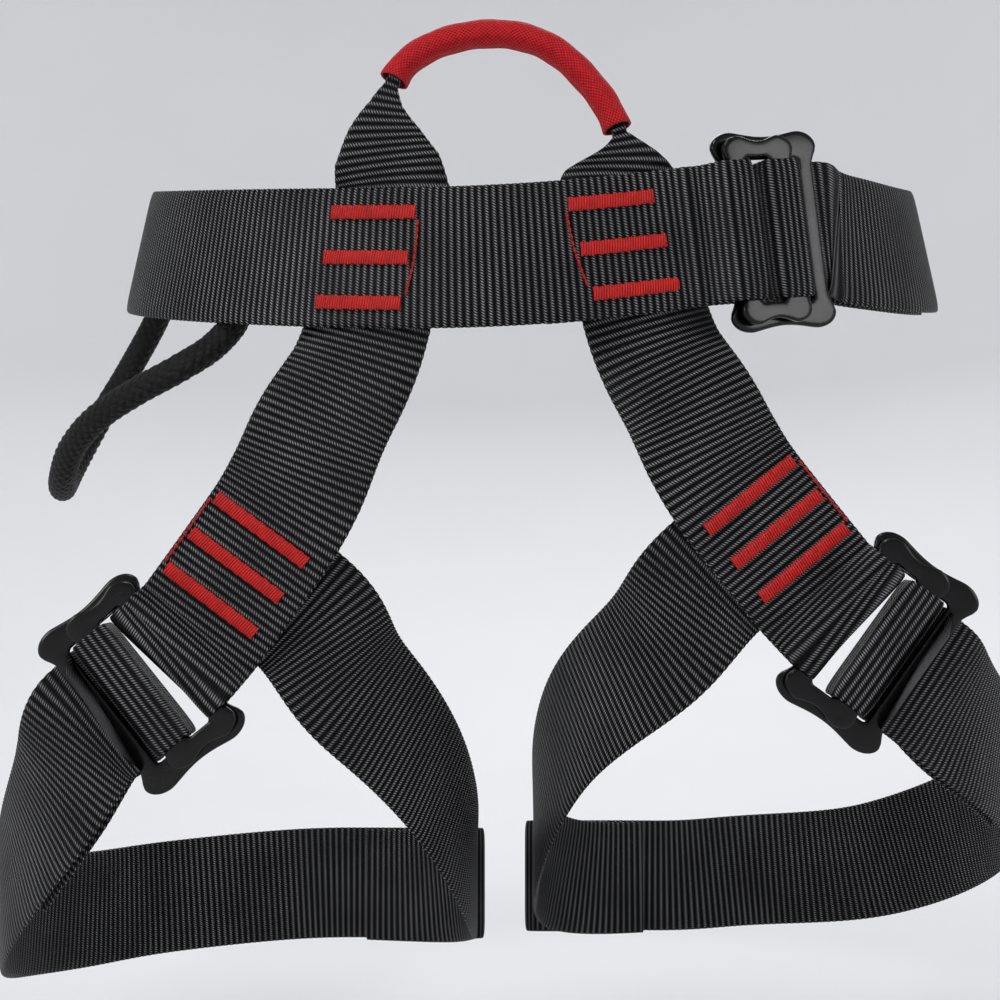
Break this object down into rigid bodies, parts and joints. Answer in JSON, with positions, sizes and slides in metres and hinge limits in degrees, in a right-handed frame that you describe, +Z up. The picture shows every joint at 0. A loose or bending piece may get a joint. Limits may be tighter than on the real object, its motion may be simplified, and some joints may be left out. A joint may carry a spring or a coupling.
{
  "type": "tree climbing saddle",
  "caption": "Half-body sit harness of flat black webbing: waist belt, two leg loops with two-plate buckles, a red-sleeved tie-in loop and a cord gear loop.",
  "frame": {"origin": "centre of the waist belt, where the wearer's hips hold it", "axes": "+X to the wearer's left, +Y to the wearer's back, +Z up the body"},
  "size_m": [0.3655, 0.2481, 0.3387],
  "materials": {
    "black_webbing": "ribbed matte",
    "red_thread": "glossy thread",
    "red_sleeve": "woven matte",
    "black_steel": "satin gloss",
    "black_cord": "braided matte"
  },
  "bodies": {
    "root": {"waist_belt_webbing": "black_webbing", "waist_belt_tail": "black_webbing", "waist_buckle_back_plate": "black_steel", "right_riser_behind_belt": "black_webbing", "left_riser_behind_belt": "black_webbing", "right_riser": "black_webbing", "left_riser": "black_webbing", "left_waist_bartack_1": "red_thread", "left_waist_bartack_2": "red_thread", "left_waist_bartack_3": "red_thread", "left_waist_seam": "red_thread", "right_waist_bartack_1": "red_thread", "right_waist_bartack_2": "red_thread", "right_waist_bartack_3": "red_thread", "right_waist_seam": "red_thread"},
    "tie_in_loop": {"tie_in_loop_webbing": "black_webbing", "tie_in_sleeve": "red_sleeve"},
    "gear_loop": {"gear_loop_cord": "black_cord"},
    "waist_buckle_front": {"waist_buckle_front_plate": "black_steel", "waist_belt_bight": "black_webbing"},
    "right_leg_loop": {"right_leg_bartack_1": "red_thread", "right_leg_bartack_2": "red_thread", "right_leg_bartack_3": "red_thread", "right_leg_buckle_back_plate": "black_steel", "right_leg_inner_strap": "black_webbing", "right_leg_outer_strap": "black_webbing", "right_leg_seam": "red_thread", "right_leg_strap_tail": "black_webbing", "right_riser_fold": "black_webbing", "right_rear_bartack_1": "red_thread", "right_rear_bartack_2": "red_thread"},
    "right_leg_buckle_front": {"right_leg_buckle_front_plate": "black_steel", "right_leg_strap_bight": "black_webbing"},
    "left_leg_loop": {"left_leg_bartack_1": "red_thread", "left_leg_bartack_2": "red_thread", "left_leg_bartack_3": "red_thread", "left_leg_buckle_back_plate": "black_steel", "left_leg_inner_strap": "black_webbing", "left_leg_outer_strap": "black_webbing", "left_leg_seam": "red_thread", "left_leg_strap_tail": "black_webbing", "left_riser_fold": "black_webbing", "left_rear_bartack_1": "red_thread", "left_rear_bartack_2": "red_thread"},
    "left_leg_buckle_front": {"left_leg_buckle_front_plate": "black_steel", "left_leg_strap_bight": "black_webbing"}
  },
  "joints": [
    {"name": "tie_in_loop_fold", "type": "hinge", "parent": "root", "child": "tie_in_loop", "pos_m": [0.00002, -0.11847, 0.00903], "axis": [0.9985, -0.0169, 0.0519], "range_deg": [0, 100]},
    {"name": "gear_loop_swing", "type": "hinge", "parent": "root", "child": "gear_loop", "pos_m": [-0.11224, -0.03527, -0.03482], "axis": [-0.3848, 0.9141, 0.1276], "range_deg": [0, 24]},
    {"name": "waist_buckle_tilt", "type": "hinge", "parent": "root", "child": "waist_buckle_front", "pos_m": [0.07599, -0.11489, -0.00719], "axis": [0.1241, -0.0122, -0.9922], "range_deg": [0, 15]},
    {"name": "right_leg_swing", "type": "hinge", "parent": "root", "child": "right_leg_loop", "pos_m": [-0.0988, -0.0507, -0.045], "axis": [-1, 0, 0], "range_deg": [0, 25], "deforming": ["right_riser"]},
    {"name": "right_leg_buckle_tilt", "type": "hinge", "parent": "right_leg_loop", "child": "right_leg_buckle_front", "pos_m": [-0.10698, -0.11466, -0.14367], "axis": [-0.6283, 0.0582, 0.7758], "range_deg": [0, 15]},
    {"name": "left_leg_swing", "type": "hinge", "parent": "root", "child": "left_leg_loop", "pos_m": [0.0996, -0.0489, -0.045], "axis": [-1, 0, 0], "range_deg": [0, 25], "deforming": ["left_riser"]},
    {"name": "left_leg_buckle_tilt", "type": "hinge", "parent": "left_leg_loop", "child": "left_leg_buckle_front", "pos_m": [0.10869, -0.1141, -0.13095], "axis": [-0.5869, -0.0544, -0.8078], "range_deg": [0, 15]}
  ]
}
